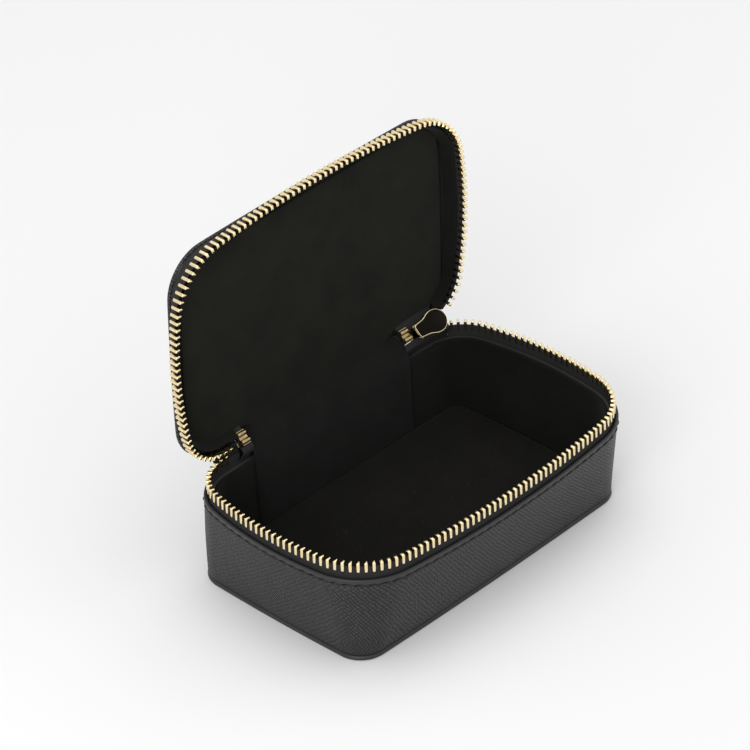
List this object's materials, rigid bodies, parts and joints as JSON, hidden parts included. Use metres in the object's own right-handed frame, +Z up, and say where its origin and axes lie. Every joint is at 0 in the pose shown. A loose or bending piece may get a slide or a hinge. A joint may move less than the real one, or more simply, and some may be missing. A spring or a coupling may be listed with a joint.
{
  "type": "jewellery case",
  "caption": "Rectangular leather jewellery case with bowed sides, open hinged lid, suede lining and a metal zip around the rim.",
  "frame": {"origin": "middle of the underside of the bottom panel, on the surface the case stands on", "axes": "+X to the right along the long side, +Y to the back where the lid is hinged, +Z up"},
  "size_m": [0.1236, 0.0818, 0.112],
  "materials": {
    "black_leather": "satin",
    "suede_lining": "matte",
    "board": "matte",
    "foam": "matte",
    "black_textile": "matte",
    "gold_metal": "polished"
  },
  "bodies": {
    "base": {"bottom_leather": "black_leather", "bottom_board": "board", "wall_leather": "black_leather", "wall_board": "board", "wall_lining": "suede_lining", "floor_foam": "foam", "floor_pad": "suede_lining", "seam_thread": "black_textile", "base_zip_tape": "black_textile", "base_zip_teeth": "gold_metal", "base_spine": "black_leather", "base_hinge_strip": "suede_lining"},
    "lid": {"lid_leather": "black_leather", "lid_board": "board", "lid_padding": "foam", "lid_lining": "suede_lining", "lid_side_lining": "suede_lining", "lid_zip_tape": "black_textile", "lid_zip_teeth": "gold_metal", "lid_spine": "black_leather", "lid_hinge_strip": "suede_lining"},
    "zip_ends": {"left_stop": "gold_metal", "right_stop": "gold_metal", "slider_body": "gold_metal", "slider_bridge": "gold_metal"},
    "puller": {"puller_link": "gold_metal", "pull_tab": "black_leather", "tab_rivet": "gold_metal"}
  },
  "joints": [
    {"name": "lid_hinge", "type": "hinge", "parent": "base", "child": "lid", "pos_m": [0, 0.0335, 0.03686], "axis": [-1, 0, 0], "range_deg": [-90, 4]},
    {"name": "zip_end_fold", "type": "hinge", "parent": "base", "child": "zip_ends", "pos_m": [0, 0.0335, 0.03686], "axis": [-1, 0, 0], "range_deg": [-45, 2]},
    {"name": "puller_swing", "type": "hinge", "parent": "zip_ends", "child": "puller", "pos_m": [0.0436, 0.03664, 0.03279], "axis": [1, 0, 0], "range_deg": [-1.5, 80]}
  ],
  "couplings": [
    {"joint": "zip_end_fold", "follows": "lid_hinge", "ratio": 0.5}
  ]
}
